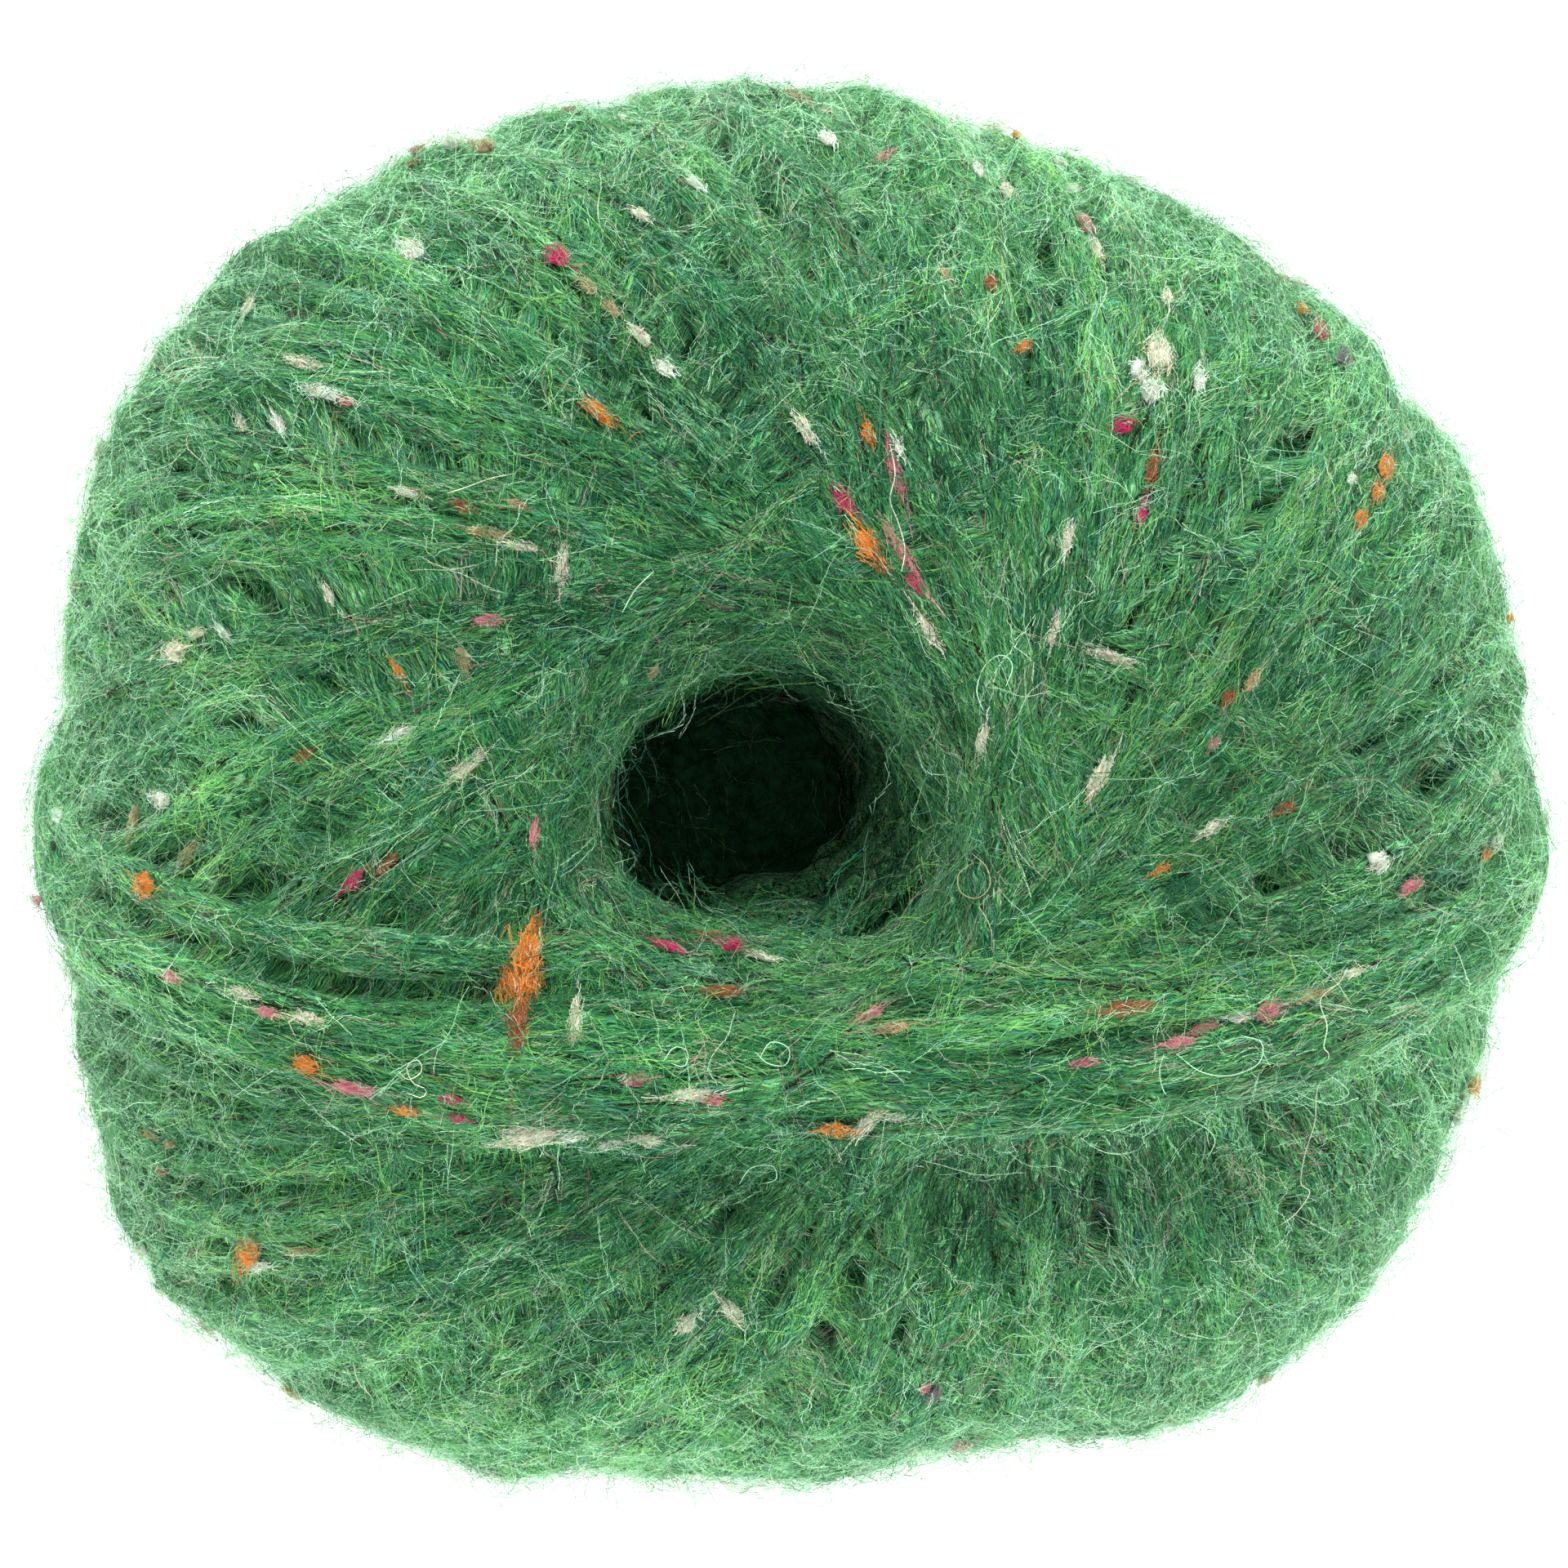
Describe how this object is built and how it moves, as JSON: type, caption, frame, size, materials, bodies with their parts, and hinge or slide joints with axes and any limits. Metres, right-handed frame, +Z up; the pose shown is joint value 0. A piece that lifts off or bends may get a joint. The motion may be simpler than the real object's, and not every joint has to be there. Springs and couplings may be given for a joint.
{
  "type": "ball of tweed yarn",
  "caption": "Centre-pull ball of brushed tweed yarn wound in tilted turns around a dark hollow, with a raised last bundle across its face, standing on its end.",
  "frame": {"origin": "middle of the ball's outline on the surface that it stands on", "axes": "+Z up, along the winding axis and out of the hollow; -Y towards the side where the last bundle lies"},
  "size_m": [0.119, 0.1132, 0.091],
  "materials": {
    "yarn": "brushed, fuzzy"
  },
  "bodies": {
    "root": {"yarn_ball": "yarn"}
  },
  "joints": []
}
